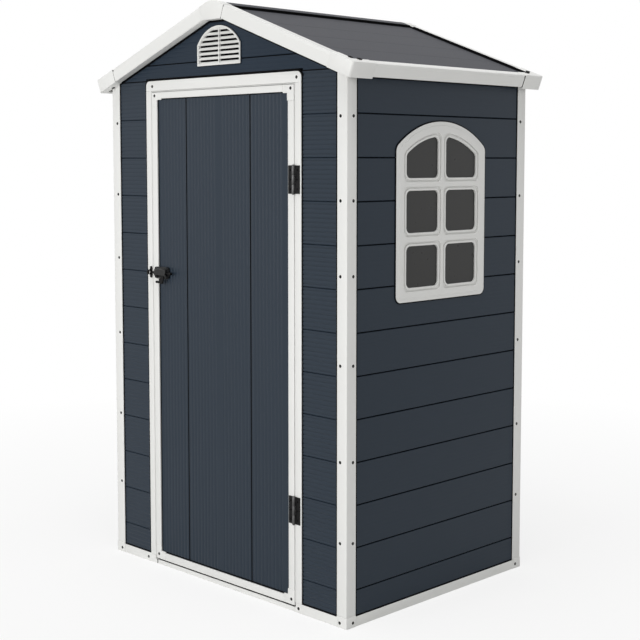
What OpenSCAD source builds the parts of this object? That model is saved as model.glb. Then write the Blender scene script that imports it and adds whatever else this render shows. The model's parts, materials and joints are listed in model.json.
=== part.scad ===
// Small plastic tool shed: dark twin-wall panels in a white frame, a gabled roof with
// white edge trims, one ribbed door on butt hinges, an arched side window and a gable vent.
// Millimetres. Origin on the ground at the middle of the plan, front facing -Y.

/* [Body] */
// Width over the corner posts
body_w = 1177; // [1100:1:1300]
// Depth over the corner posts
body_d = 894; // [820:1:1100]
// Height of the wall tops above the ground
wall_h = 1722; // [1650:1:1850]
// Thickness of the twin-wall panels
panel_t = 18; // [14:0.5:18]
// How far the panel faces sit behind the post faces
panel_inset = 4; // [2:0.5:4]
// Clearance round a panel edge in its slot
fit = 0.3; // [0.2:0.1:0.6]

/* [Base] */
// Height of the base rails
base_h = 31; // [26:1:50]
// Height of the corner feet
foot_h = 36; // [30:1:60]
// Depth of the base rails and of the door frame, front to back
base_t = 36; // [34:1:42]
// Depth of the groove that takes the panels' bottom edges
base_slot = 10; // [6:1:14]
// How far the corner feet stand out from the posts
foot_proud = 1.5; // [0.5:0.5:3]
// Thickness of the floor panel
floor_t = 16; // [10:1:20]
// Height of the door sill
sill_h = 16; // [10:1:20]
// How far the sill face sits behind the rail faces
sill_inset = 2; // [1:0.5:5]
// Length of the low tongues by which the front rails reach under the door leaf
tongue_l = 7.4; // [5:0.1:12]
// Width of the joints between the tongues and the sill
tongue_joint = 2; // [0.5:0.5:3]

/* [Corner posts] */
// Width of each face of a corner post
post_w = 42; // [38:1:55]
// Thickness of each leg of a corner post
post_t = 26; // [25:1:32]
// Depth of the slots in the posts
post_slot = 12; // [6:1:12]

/* [Door frame] */
// Width over the door frame
frame_w = 780; // [700:1:840]
// Width of a door jamb
jamb_w = 27.5; // [24:0.5:36]
// Depth of the slot in a jamb that takes the wall panel
jamb_slot = 8; // [4:1:10]
// Height of the door head
head_h = 35; // [30:1:45]
// Radius of the door head's top corners
head_r = 18; // [10:1:29]
// How far the stops reach behind the leaf
stop_w = 12; // [9:1:16]
// Height of the shadow gap over the door head
shadow_h = 8; // [4:1:12]
// Depth of the shadow gap over the door head
shadow_t = 5; // [2:1:8]

/* [Door leaf] */
// Clearance round the closed leaf
door_gap = 5; // [5:0.5:8]
// Thickness of the leaf's frame
leaf_t = 24; // [23:1:24]
// Width of the leaf's stiles
stile_w = 27; // [24:1:40]
// Height of the leaf's top rail
top_rail_h = 22; // [20:1:40]
// Height of the leaf's bottom rail
bottom_rail_h = 26; // [20:1:45]
// Length of the legs of the leaf's corner pieces
corner_l = 50; // [48:1:80]
// How much higher the corner pieces are than the rails, and wider than the hinge stile
corner_extra = 4; // [1:0.5:8]
// Thickness of the ribbed door panel
door_panel_t = 14; // [10:1:14]
// How far the door panel sits behind the leaf's frame
door_panel_inset = 6; // [3:0.5:7]
// Depth of the leaf's slot for the door panel
leaf_slot = 8; // [4:1:12]

/* [Hinges] */
// Height of a butt hinge
hinge_h = 89; // [70:1:110]
// Width of a hinge leaf, from the pin to its edge
hinge_leaf = 25.5; // [18:0.5:25.5]
// Thickness of a hinge leaf
hinge_t = 2.5; // [1.5:0.5:3]
// Outer radius of the hinge knuckles
knuckle_r = 5; // [4.5:0.1:5]
// Radius of the hinge pin
pin_r = 2.5; // [2:0.1:3]
// Radial clearance between the pin and the door's knuckle
pin_fit = 0.1; // [0.05:0.05:0.2]
// Radius of the heads of the hinge pin
pin_head_r = 3.6; // [3.4:0.1:4.4]
// Height of the heads of the hinge pin
pin_head_h = 2.5; // [1:0.5:4]
// End clearance between the knuckles
knuckle_gap = 0.5; // [0.3:0.1:1]
// Middle of the lower hinge above the leaf's bottom edge
hinge_low = 312; // [150:1:450]
// Middle of the upper hinge below the leaf's top edge
hinge_high = 296; // [150:1:450]

/* [Latch] */
// Height of the bolt above the ground
latch_z = 1053; // [900:1:1200]
// Width of the latch plate
latch_w = 84; // [76:1:100]
// Height of the latch plate and of the keeper plate
latch_h = 41; // [30:1:50]
// Thickness of the latch plate
latch_t = 3; // [2:0.5:3]
// Distance from the leaf's edge to the latch plate
latch_edge = 8; // [2:0.5:10]
// Radius of the bolt
bolt_r = 5; // [4:0.5:5]
// Distance of the bolt's middle line in front of the leaf
bolt_out = 9; // [9:0.5:11]
// Radial clearance round the bolt in its straps
bolt_fit = 0.5; // [0.3:0.1:0.8]
// How far the bolt sticks out of the latch plate on the inner side
bolt_tail = 18; // [14:1:26]
// Wall thickness of the straps and of the keeper round the bolt
strap_wall = 3; // [2:0.5:4]
// Width of a strap along the bolt
strap_w = 8; // [5:1:9]
// Width of the bolt's hanging tab
tab_w = 24; // [18:1:26]
// Length of the tab below the bolt's middle line
tab_l = 38; // [30:1:50]
// Thickness of the tab
tab_t = 5; // [3:0.5:5]
// Length of the finger nib at the tab's foot
nib_l = 21; // [8:1:24]
// Height of the finger nib
nib_h = 8; // [4:1:9]
// Distance between the plate's inner edge and the tab
tab_edge = 20; // [18:1:22]
// Width of the keeper
keeper_w = 12; // [8:1:14]
// Thickness of the keeper plate
keeper_t = 2; // [1:0.5:3]
// Distance from the jamb's edge to the keeper
keeper_edge = 0.5; // [0.5:0.5:4]
// Radial clearance round the bolt in the keeper
keeper_fit = 1; // [0.8:0.1:1.5]

/* [Window] */
// Width over the window frame
window_w = 447; // [350:1:500]
// Height over the window frame
window_h = 575; // [450:1:650]
// Top of the window frame below the wall tops
window_drop = 151; // [90:1:300]
// Rise of the window's arch
window_rise = 84; // [40:1:120]
// Width of the window frame's members
window_frame_w = 48; // [40:1:60]
// Radius of the window frame's bottom corners
window_foot_r = 22; // [8:1:40]
// Radius of the shoulders under the window's arch
window_shoulder_r = 30; // [8:1:60]
// How far the window frame stands out from the wall panel
window_proud = 5; // [4:1:12]
// How far the window frame laps over the edge of the wall's opening
window_lap = 20; // [10:1:24]
// How far the glazing sits behind the wall panel's face
glass_inset = 2; // [1:0.5:6]
// Thickness of the glazing sheet
glass_t = 4; // [3:0.5:6]
// How far the glazing reaches into the frame
glass_lap = 8; // [4:1:12]

/* [Gable vent] */
// Width of the vent
vent_w = 215; // [160:1:240]
// Underside of the vent above the wall tops
vent_up = 38; // [30:1:60]
// Height of the vent
vent_h = 129; // [90:1:130]
// Rise of the vent's arch
vent_rise = 61; // [40:1:70]
// Width of the vent's rim and centre bar
vent_rim = 9; // [6:0.5:12]
// How far the vent stands out from the gable panel
vent_proud = 5; // [3:0.5:8]
// How far the vent reaches into the gable panel
vent_depth = 10; // [6:1:14]
// Number of louvre slots on each side
louvre_count = 7; // [3:1:8]
// Distance between louvre slots
louvre_pitch = 15.6; // [12:0.2:18]
// Height of a louvre slot
louvre_slot = 7; // [4:0.5:9]

/* [Roof] */
// Slope of the roof in degrees
roof_angle = 20.4; // [18:0.2:24]
// Height of the roof's underside over the wall tops, at the side panels' faces
eave_rise = 7; // [5:1:20]
// How far the roof reaches past the posts at the sides
side_overhang = 51.6; // [46:0.2:70]
// How far the roof reaches past the posts at the front and rear
end_overhang = 29.2; // [28:0.2:45]
// Thickness of a roof panel
roof_t = 16; // [12:0.5:20]
// Thickness of the roof trims
trim_t = 3; // [2:0.5:4]
// Height of the seal between the roof panels and the trims' top flanges
seal_h = 5; // [3:0.5:8]
// Width of the seal
seal_w = 6; // [4:0.5:10]
// How far the seal sits back from the flange's edge
seal_inset = 1; // [0.5:0.5:3]
// Width of the trims' top flanges
flange_w = 35; // [32:1:36]
// Height of the eaves fascias, square to the slope
fascia_h = 42; // [36:1:44]
// Width of the fascias' bottom flanges
fascia_foot = 12; // [8:1:20]
// Height of the bargeboards, square to the slope
barge_h = 46; // [40:1:52]
// Half width of the ridge cap and the apex caps, along the slope
ridge_half = 66; // [58:1:80]
// Radius of the ridge's rounded crest
crest_r = 100; // [60:1:110]
// Length of the eaves corner caps along the fascia and the bargeboard
cap_l = 100; // [70:1:130]
// How far the corner and apex caps stand out from the trims
cap_proud = 1.5; // [0.5:0.5:2.5]

/* [Hidden] */
$fn = 64;

white = [0.91, 0.91, 0.90];
slate = [0.23, 0.26, 0.30];
roof_grey = [0.39, 0.39, 0.41];
black = [0.06, 0.06, 0.06];
smoke = [0.24, 0.24, 0.24];

// Plan of the walls
half_w = body_w / 2;
half_d = body_d / 2;
panel_x = half_w - panel_inset;
panel_y = half_d - panel_inset;
panel_z = base_h - base_slot;
slot_x = half_w - post_w + post_slot;
slot_y = half_d - post_w + post_slot;

// Door frame and leaf
frame_x = frame_w / 2;
jamb_x = frame_x - jamb_w;
stop_x = jamb_x - stop_w;
head_z = wall_h - head_h;
door_y = -half_d;
frame_y = door_y + base_t;
stop_y = door_y + leaf_t + door_gap;
leaf_x = jamb_x - door_gap;
leaf_z0 = sill_h + door_gap;
leaf_z1 = head_z - door_gap;

// Hinges
hinge_x = jamb_x - door_gap / 2;
hinge_y = door_y - knuckle_r;
hinge_zs = [leaf_z0 + hinge_low, leaf_z1 - hinge_high];
knuckle_h = (hinge_h - 2 * knuckle_gap) / 3;

// Latch
latch_x0 = -leaf_x + latch_edge;
latch_x1 = latch_x0 + latch_w;
bolt_y = door_y - bolt_out;
keeper_x1 = -jamb_x - keeper_edge;
keeper_x0 = keeper_x1 - keeper_w;
strap_r = bolt_r + bolt_fit + strap_wall;
keeper_r = bolt_r + keeper_fit + strap_wall;

// Window
window_z1 = wall_h - window_drop;
window_z0 = window_z1 - window_h;
glass_x = panel_x - glass_inset - glass_t;
window_steps = 8;
arch_steps = 32;

// Vent
vent_z0 = wall_h + vent_up;
vent_z1 = vent_z0 + vent_h;
vent_lap = vent_rim / 2;

// Roof, measured in each slope's own frame: u down the slope, v along Y, w square to it
cover = trim_t + seal_h + roof_t;
under_drop = cover / cos(roof_angle);
gable_rise = eave_rise + panel_x * tan(roof_angle);
ridge_z = wall_h + gable_rise + under_drop;
eave_u = (half_w + side_overhang) / cos(roof_angle);
end_v = half_d + end_overhang;
panel_u0 = cover * tan(roof_angle) + fit;
open_u0 = ridge_half;
open_u1 = eave_u - flange_w;
open_v = end_v - flange_w;
crest_drop = crest_r / cos(roof_angle);
crest_steps = 8;
eps = 0.01;

// Box from one corner to the other
module span(lo, hi) {
  translate(lo) cube(hi - lo);
}

module both_x() {
  children();
  mirror([1, 0, 0]) children();
}

module both_y() {
  children();
  mirror([0, 1, 0]) children();
}

// Outline in X and Z, thick from y0 to y1
module frontal(y0, y1) {
  translate([0, y1, 0]) rotate([90, 0, 0]) linear_extrude(height = y1 - y0) children();
}

// Outline in Y and Z, thick from x0 to x1
module sideways(x0, x1) {
  translate([x0, 0, 0]) rotate([90, 0, 90]) linear_extrude(height = x1 - x0) children();
}

// The slope on the +X side, as a level frame with its origin on the ridge line
module on_slope() {
  translate([0, 0, ridge_z]) rotate([0, roof_angle, 0]) children();
}

// Outline with a segmental arch on top, drawn in by inset all round
module arch(w, z0, z1, rise, inset = 0) {
  r = (w * w / 4 + rise * rise) / (2 * rise);
  spring_z = z1 - rise;
  intersection() {
    translate([-w / 2 + inset, z0 + inset]) square([w - 2 * inset, z1 - z0]);
    union() {
      translate([0, z1 - r]) circle(r - inset, $fn = 128);
      translate([-w / 2, z0]) square([w, spring_z - z0 - inset]);
    }
  }
}

// Wall panels as plain slabs, grown by g for their slots
module slab_front(g = 0) {
  translate([-slot_x - g, -panel_y - g, panel_z - g])
    cube([slot_x - frame_x + jamb_slot + 2 * g, panel_t + 2 * g, wall_h - panel_z + 2 * g]);
}

module slab_rear(g = 0) {
  translate([-slot_x - g, panel_y - panel_t - g, panel_z - g])
    cube([2 * (slot_x + g), panel_t + 2 * g, wall_h - panel_z + 2 * g]);
}

module slab_side(g = 0) {
  translate([panel_x - panel_t - g, -slot_y - g, panel_z - g])
    cube([panel_t + 2 * g, 2 * (slot_y + g), wall_h - panel_z + 2 * g]);
}

module wall_slots() {
  both_x() slab_front(fit);
  both_x() slab_side(fit);
  slab_rear(fit);
}

// Base

module foot(g = 0) {
  translate([half_w - post_w - g, half_d - post_w - g, 0])
    cube([post_w + foot_proud + g, post_w + foot_proud + g, foot_h]);
}

module floor_panel() {
  color(roof_grey) difference() {
    span([-half_w + base_t + fit, -half_d + base_t + fit, 0],
         [half_w - base_t - fit, half_d - base_t - fit, floor_t]);
    both_x() both_y() foot(fit);
  }
}

module base_rail_side() {
  color(white) difference() {
    span([half_w - base_t, -half_d + post_w, 0], [half_w, half_d - post_w, base_h]);
    wall_slots();
  }
}

module base_rail_left() {
  mirror([1, 0, 0]) base_rail_side();
}

module base_rail_right() {
  base_rail_side();
}

module base_rail_rear() {
  color(white) difference() {
    span([-half_w + post_w, half_d - base_t, 0], [half_w - post_w, half_d, base_h]);
    wall_slots();
  }
}

module base_rails_front() {
  color(white) both_x() difference() {
    union() {
      span([jamb_x, -half_d, 0], [half_w - post_w, frame_y, base_h]);
      span([jamb_x - tongue_l, -half_d, 0], [jamb_x + eps, frame_y, sill_h]);
    }
    wall_slots();
  }
}

module door_sill() {
  sill_x = jamb_x - tongue_l - tongue_joint;
  color(white) span([-sill_x, -half_d + sill_inset, 0], [sill_x, frame_y, sill_h]);
}

module corner_feet() {
  color(white) both_x() both_y() difference() {
    foot();
    wall_slots();
  }
}

// Corner posts

module post() {
  color(white) difference() {
    union() {
      span([half_w - post_w, half_d - post_t, foot_h], [half_w, half_d, wall_h]);
      span([half_w - post_t, half_d - post_w, foot_h], [half_w, half_d, wall_h]);
    }
    wall_slots();
  }
}

module post_front_left() {
  mirror([1, 0, 0]) mirror([0, 1, 0]) post();
}

module post_front_right() {
  mirror([0, 1, 0]) post();
}

module post_rear_left() {
  mirror([1, 0, 0]) post();
}

module post_rear_right() {
  post();
}

// Walls and gables

module wall_front_left() {
  color(slate) slab_front();
}

module wall_front_right() {
  color(slate) mirror([1, 0, 0]) slab_front();
}

module wall_rear() {
  color(slate) slab_rear();
}

module wall_left() {
  color(slate) mirror([1, 0, 0]) slab_side();
}

module wall_right() {
  color(slate) difference() {
    slab_side();
    sideways(panel_x - 2 * panel_t, panel_x + panel_t) window_outline(window_lap);
  }
}

module gable_outline() {
  translate([0, wall_h])
    polygon([[-panel_x, 0], [panel_x, 0], [panel_x, eave_rise], [0, gable_rise],
             [-panel_x, eave_rise]]);
}

module gable_front() {
  shadow_x = frame_x + shadow_h / 2;
  color(slate) difference() {
    frontal(-panel_y, -panel_y + panel_t) gable_outline();
    frontal(-panel_y - panel_t, -panel_y + 2 * panel_t) vent_outline(vent_lap);
    span([-shadow_x, -panel_y - panel_t, wall_h - panel_t],
         [shadow_x, -panel_y + shadow_t, wall_h + shadow_h]);
  }
}

module gable_rear() {
  color(slate) frontal(panel_y - panel_t, panel_y) gable_outline();
}

// Vent

module vent_outline(inset = 0) {
  arch(vent_w, vent_z0, vent_z1, vent_rise, inset);
}

module louvre_slots() {
  stack_h = (louvre_count - 1) * louvre_pitch + louvre_slot;
  slot_z0 = (vent_z0 + vent_z1 - stack_h) / 2;
  intersection() {
    vent_outline(vent_rim);
    difference() {
      for (i = [0:louvre_count - 1]) {
        translate([-vent_w, slot_z0 + i * louvre_pitch]) square([2 * vent_w, louvre_slot]);
      }
      translate([-vent_rim / 2, vent_z0]) square([vent_rim, vent_h]);
    }
  }
}

module gable_vent() {
  color(white) difference() {
    union() {
      frontal(-panel_y - vent_proud, -panel_y) vent_outline();
      frontal(-panel_y - eps, -panel_y + vent_depth) vent_outline(vent_lap + fit);
    }
    frontal(-panel_y - panel_t, -panel_y + panel_t) louvre_slots();
  }
}

// Window

module window_outline(inset = 0) {
  arch(window_w, window_z0, window_z1, window_rise, inset);
}

// Points of an arc from angle a0 to a1, without the first and last skip of them
function arc(centre, r, a0, a1, steps, skip = 0) =
  [for (i = [skip:steps - skip]) let(a = a0 + (a1 - a0) * i / steps) centre + r * [cos(a), sin(a)]];

// The frame's outer edge: the same arch with rounded shoulders and feet
module window_edge() {
  half = window_w / 2;
  arch_r = (half * half + window_rise * window_rise) / (2 * window_rise);
  arch_z = window_h - arch_r;
  foot_y = half - window_foot_r;
  shoulder_y = half - window_shoulder_r;
  shoulder_up = sqrt(pow(arch_r - window_shoulder_r, 2) - pow(shoulder_y, 2));
  lean = atan2(shoulder_up, shoulder_y);
  shoulder_z = arch_z + shoulder_up;
  translate([0, window_z0]) polygon(concat(
    arc([foot_y, window_foot_r], window_foot_r, -90, 0, window_steps),
    arc([shoulder_y, shoulder_z], window_shoulder_r, 0, lean, window_steps),
    arc([0, arch_z], arch_r, lean, 180 - lean, arch_steps, 1),
    arc([-shoulder_y, shoulder_z], window_shoulder_r, 180 - lean, 180, window_steps),
    arc([-foot_y, window_foot_r], window_foot_r, 180, 270, window_steps)));
}

module glazing(g = 0) {
  sideways(glass_x - g, glass_x + glass_t + g) window_outline(window_frame_w - glass_lap - g);
}

module window_frame() {
  color(white) difference() {
    union() {
      sideways(panel_x, panel_x + window_proud) window_edge();
      sideways(panel_x - panel_t, panel_x + eps) window_outline(window_lap + fit);
    }
    sideways(panel_x - 2 * panel_t, panel_x + panel_t) window_outline(window_frame_w);
    glazing(fit);
  }
}

module window_glass() {
  color(smoke) glazing();
}

// Door frame

module jamb() {
  color(white) difference() {
    union() {
      span([jamb_x, door_y, base_h], [frame_x, frame_y, head_z]);
      span([stop_x, stop_y, base_h], [frame_x, frame_y, head_z]);
    }
    wall_slots();
  }
}

module door_jamb_left() {
  mirror([1, 0, 0]) jamb();
}

module door_jamb_right() {
  jamb();
}

module head_outline() {
  translate([-frame_x, head_z]) square([frame_w, head_h - head_r]);
  translate([-frame_x + head_r, head_z]) square([frame_w - 2 * head_r, head_h]);
  for (x = [-frame_x + head_r, frame_x - head_r]) {
    translate([x, wall_h - head_r]) circle(head_r);
  }
}

module door_head() {
  color(white) difference() {
    union() {
      intersection() {
        frontal(door_y, frame_y) head_outline();
        span([-frame_x, door_y, head_z], [frame_x, frame_y, wall_h]);
      }
      span([-stop_x, stop_y, head_z - stop_w], [stop_x, frame_y, head_z + eps]);
    }
    wall_slots();
  }
}

// Door leaf

module leaf_slab(g = 0) {
  in_x = leaf_x - stile_w + leaf_slot + g;
  in_y = door_y + door_panel_inset;
  span([-in_x, in_y - g, leaf_z0 + bottom_rail_h - leaf_slot - g],
       [in_x, in_y + door_panel_t + g, leaf_z1 - top_rail_h + leaf_slot + g]);
}

module door_panel() {
  color(slate) leaf_slab();
}

module stile() {
  color(white) difference() {
    span([leaf_x - stile_w, door_y, leaf_z0 + corner_l],
         [leaf_x, door_y + leaf_t, leaf_z1 - corner_l]);
    leaf_slab(fit);
  }
}

module door_stile_left() {
  mirror([1, 0, 0]) stile();
}

module door_stile_right() {
  stile();
}

module leaf_rail(z0, z1) {
  color(white) difference() {
    span([-leaf_x + corner_l, door_y, z0], [leaf_x - corner_l, door_y + leaf_t, z1]);
    leaf_slab(fit);
  }
}

module door_rail_top() {
  leaf_rail(leaf_z1 - top_rail_h, leaf_z1);
}

module door_rail_bottom() {
  leaf_rail(leaf_z0, leaf_z0 + bottom_rail_h);
}

// One corner piece: a leg along the stile, extra wider than it, and a leg along the rail of
// height rail_h
module leaf_corner(z, up, rail_h, extra) {
  translate([0, 0, z]) mirror([0, 0, up > 0 ? 0 : 1]) {
    span([leaf_x - stile_w - extra, door_y, 0], [leaf_x, door_y + leaf_t, corner_l]);
    span([leaf_x - corner_l, door_y, 0],
         [leaf_x, door_y + leaf_t, rail_h + corner_extra]);
  }
}

module leaf_corners(extra) {
  difference() {
    union() {
      leaf_corner(leaf_z0, 1, bottom_rail_h, extra);
      leaf_corner(leaf_z1, -1, top_rail_h, extra);
    }
    leaf_slab(fit);
  }
}

// The latch side's corner pieces are as wide as its stile
module door_corners() {
  color(white) {
    leaf_corners(corner_extra);
    mirror([1, 0, 0]) leaf_corners(0);
  }
}

// Hinges: three knuckles on one pin, the outer two on the jamb and the middle one on the door

module hinge_plate() {
  span([0, knuckle_r - hinge_t, -hinge_h / 2], [hinge_leaf, knuckle_r, hinge_h / 2]);
}

module knuckle_space() {
  clear_r = knuckle_r + knuckle_gap;
  span([-clear_r, -clear_r, -knuckle_h / 2 - knuckle_gap],
       [clear_r, clear_r, knuckle_h / 2 + knuckle_gap]);
}

module jamb_hinge() {
  difference() {
    union() {
      hinge_plate();
      translate([0, 0, -hinge_h / 2]) cylinder(r = knuckle_r, h = hinge_h);
    }
    knuckle_space();
  }
  cylinder(r = pin_r, h = hinge_h + 2 * pin_head_h, center = true);
  for (z = [-hinge_h / 2 - pin_head_h, hinge_h / 2]) {
    translate([0, 0, z]) cylinder(r = pin_head_r, h = pin_head_h);
  }
}

module door_hinge() {
  clear_r = knuckle_r + knuckle_gap;
  difference() {
    union() {
      difference() {
        mirror([1, 0, 0]) hinge_plate();
        for (s = [-1, 1]) {
          translate([0, 0, s * (knuckle_h + knuckle_gap)])
            cube([2 * clear_r, 2 * clear_r, knuckle_h + 2 * knuckle_gap], center = true);
        }
      }
      cylinder(r = knuckle_r, h = knuckle_h, center = true);
    }
    cylinder(r = pin_r + pin_fit, h = hinge_h, center = true);
  }
}

module hinge_jamb_leaves() {
  color(black) for (z = hinge_zs) translate([hinge_x, hinge_y, z]) jamb_hinge();
}

module hinge_door_leaves() {
  color(black) for (z = hinge_zs) translate([hinge_x, hinge_y, z]) door_hinge();
}

// Latch

module along_bolt(x0, x1, r) {
  translate([x0, bolt_y, latch_z]) rotate([0, 90, 0]) cylinder(r = r, h = x1 - x0);
}

// Block and round strap over the bolt, r outside, carried on the leaf's face
module strap(x0, w, r) {
  span([x0, bolt_y, latch_z - r], [x0 + w, door_y, latch_z + r]);
  along_bolt(x0, x0 + w, r);
}

module latch_case() {
  spacer_x0 = -leaf_x + stile_w + fit;
  color(black) difference() {
    union() {
      span([latch_x0, door_y - latch_t, latch_z - latch_h / 2],
           [latch_x1, door_y, latch_z + latch_h / 2]);
      span([spacer_x0, door_y - eps, latch_z - latch_h / 2],
           [latch_x1, door_y + door_panel_inset, latch_z + latch_h / 2]);
      strap(latch_x0, strap_w, strap_r);
      strap(latch_x1 - strap_w, strap_w, strap_r);
    }
    along_bolt(latch_x0 - strap_w, latch_x1 + strap_w, bolt_r + bolt_fit);
  }
}

module latch_bolt() {
  tab_x1 = latch_x1 - tab_edge;
  tab_x0 = tab_x1 - tab_w;
  color(black) {
    along_bolt(latch_x0, latch_x1 + bolt_tail, bolt_r);
    span([tab_x0, bolt_y - tab_t, latch_z - tab_l], [tab_x1, bolt_y, latch_z]);
    span([tab_x0 - nib_l, bolt_y - tab_t, latch_z - tab_l],
         [tab_x0 + eps, bolt_y, latch_z - tab_l + nib_h]);
  }
}

module latch_keeper() {
  color(black) difference() {
    union() {
      span([keeper_x0, door_y - keeper_t, latch_z - latch_h / 2],
           [keeper_x1, door_y, latch_z + latch_h / 2]);
      strap(keeper_x0, keeper_w, keeper_r);
    }
    along_bolt(keeper_x0 - keeper_w, keeper_x1 + keeper_w, bolt_r + keeper_fit);
  }
}

// Roof

module eaves_rails() {
  in_x = half_w - post_t;
  in_rise = eave_rise + (panel_x - in_x) * tan(roof_angle);
  color(roof_grey) both_x()
    frontal(-panel_y + panel_t + fit, panel_y - panel_t - fit) translate([0, wall_h])
      polygon([[in_x, 0], [panel_x, 0], [panel_x, eave_rise], [in_x, in_rise]]);
}

module roof_panel() {
  color(roof_grey) on_slope()
    span([panel_u0, -end_v + trim_t + fit, -cover],
         [eave_u - trim_t - fit, end_v - trim_t - fit, -cover + roof_t]);
}

module roof_panel_left() {
  mirror([1, 0, 0]) roof_panel();
}

module roof_panel_right() {
  roof_panel();
}

// A ring under the flanges, round the part of the slope that shows
module roof_seals() {
  out = seal_inset + seal_w;
  color(black) both_x() on_slope() difference() {
    span([open_u0 - out, -open_v - out, -cover + roof_t],
         [open_u1 + out, open_v + out, -trim_t - eps]);
    span([open_u0 - seal_inset, -open_v - seal_inset, -cover],
         [open_u1 + seal_inset, open_v + seal_inset, seal_h]);
  }
}

// Point on the +X slope, u down the slope and w square to it, as X and the height over the ridge
function slope_point(u, w) = [u * cos(roof_angle) + w * sin(roof_angle),
                              w * cos(roof_angle) - u * sin(roof_angle)];

function mirrored(p) = [-p[0], p[1]];

// The rounded crest and the flats beside it, raised by d above the trims' top plane
function crest_line(d) = concat(
  [mirrored(slope_point(ridge_half, d))],
  [for (i = [-crest_steps:crest_steps])
    let(a = roof_angle * i / crest_steps, r = crest_r + d) [r * sin(a), r * cos(a) - crest_drop]],
  [slope_point(ridge_half, d)]);

module crest_shell(d) {
  inner = crest_line(-trim_t);
  polygon(concat(crest_line(d), [for (i = [len(inner) - 1:-1:0]) inner[i]]));
}

module ridge_cap() {
  color(roof_grey) translate([0, 0, ridge_z]) frontal(-open_v, open_v) crest_shell(0);
}

// Front face of an apex cap: both slopes down to a flat foot
module apex_outline() {
  foot = slope_point(ridge_half, -barge_h);
  polygon(concat([mirrored(foot)], crest_line(cap_proud), [foot]));
}

module apex_cap() {
  frontal(-end_v - cap_proud, -end_v + trim_t) apex_outline();
  frontal(-end_v, -open_v) crest_shell(cap_proud);
  foot = slope_point(ridge_half, -barge_h);
  frontal(-end_v, -half_d - fit) translate(mirrored(foot)) square([2 * foot[0], trim_t]);
}

module apex_caps() {
  color(white) translate([0, 0, ridge_z]) both_y() apex_cap();
}

// Bargeboard section between u0 and u1: face, top flange, panel shelf and soffit,
// grown outwards by p
module barge(u0, u1, p = 0) {
  foot_v = half_d + fit;
  on_slope() {
    span([u0, -end_v - p, -barge_h - p], [u1, -end_v + trim_t, p]);
    span([u0, -end_v, -trim_t], [u1, -open_v, p]);
    span([u0, -end_v, -cover - trim_t], [u1, -foot_v, -cover]);
    span([u0, -end_v, -barge_h - p], [u1, -foot_v, -barge_h + trim_t]);
  }
}

module bargeboards() {
  both_x() barge(ridge_half, eave_u - cap_l);
}

module bargeboards_front() {
  color(white) bargeboards();
}

module bargeboards_rear() {
  color(white) mirror([0, 1, 0]) bargeboards();
}

// Fascia section of height h between v0 and v1, grown outwards by p
module fascia(v0, v1, h, p = 0) {
  on_slope() {
    span([eave_u - trim_t, v0, -h - p], [eave_u + p, v1, p]);
    span([open_u1, v0, -trim_t], [eave_u, v1, p]);
    span([open_u1, v0, -cover - trim_t], [eave_u, v1, -cover]);
    span([eave_u - fascia_foot, v0, -h - p], [eave_u, v1, -h + trim_t]);
  }
}

module fascias() {
  color(white) both_x() fascia(-end_v + cap_l, end_v - cap_l, fascia_h);
}

module eave_caps() {
  color(white) both_x() both_y() {
    barge(eave_u - cap_l, eave_u + cap_proud, cap_proud);
    fascia(-end_v - cap_proud, -end_v + cap_l, barge_h, cap_proud);
  }
}

floor_panel();
base_rail_left();
base_rail_right();
base_rail_rear();
base_rails_front();
door_sill();
corner_feet();
post_front_left();
post_front_right();
post_rear_left();
post_rear_right();
wall_front_left();
wall_front_right();
wall_rear();
wall_left();
wall_right();
gable_front();
gable_rear();
gable_vent();
window_frame();
window_glass();
door_jamb_left();
door_jamb_right();
door_head();
hinge_jamb_leaves();
latch_keeper();
eaves_rails();
roof_panel_left();
roof_panel_right();
roof_seals();
ridge_cap();
bargeboards_front();
bargeboards_rear();
apex_caps();
fascias();
eave_caps();
door_panel();
door_stile_left();
door_stile_right();
door_rail_top();
door_rail_bottom();
door_corners();
hinge_door_leaves();
latch_case();
latch_bolt();
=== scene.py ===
import json
from math import atan2, cos, pi, radians, sin, sqrt, tan

import bmesh
import bpy
from mathutils import Matrix, Vector


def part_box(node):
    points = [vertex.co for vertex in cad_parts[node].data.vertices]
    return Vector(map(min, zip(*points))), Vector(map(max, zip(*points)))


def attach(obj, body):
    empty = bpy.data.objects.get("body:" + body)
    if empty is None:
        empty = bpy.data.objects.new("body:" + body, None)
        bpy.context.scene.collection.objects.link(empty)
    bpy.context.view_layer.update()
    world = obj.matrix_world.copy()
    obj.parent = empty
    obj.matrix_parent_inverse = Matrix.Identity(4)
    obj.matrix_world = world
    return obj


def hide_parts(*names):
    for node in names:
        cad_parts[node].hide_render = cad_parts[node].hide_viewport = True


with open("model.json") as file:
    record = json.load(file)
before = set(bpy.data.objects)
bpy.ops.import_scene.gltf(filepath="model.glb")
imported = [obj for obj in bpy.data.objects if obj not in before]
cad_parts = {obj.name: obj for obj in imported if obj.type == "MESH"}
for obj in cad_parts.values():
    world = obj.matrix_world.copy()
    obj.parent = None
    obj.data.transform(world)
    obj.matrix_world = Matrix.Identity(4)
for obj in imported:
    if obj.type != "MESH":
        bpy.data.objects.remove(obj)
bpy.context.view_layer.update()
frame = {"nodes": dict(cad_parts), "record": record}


# ---------------------------------------------------------------------------
# Studio: a pale paper floor that runs out into a white surround, large soft
# lamps from the front, the right and above, and a faint fill all round.

scene = bpy.context.scene
scene.view_settings.view_transform = "Standard"


def linear(hex_colour):
    """Linear RGBA of an sRGB hex colour."""
    channels = [int(hex_colour[i:i + 2], 16) / 255 for i in (1, 3, 5)]
    return [c / 12.92 if c <= 0.04045 else ((c + 0.055) / 1.055) ** 2.4 for c in channels] + [1]


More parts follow.
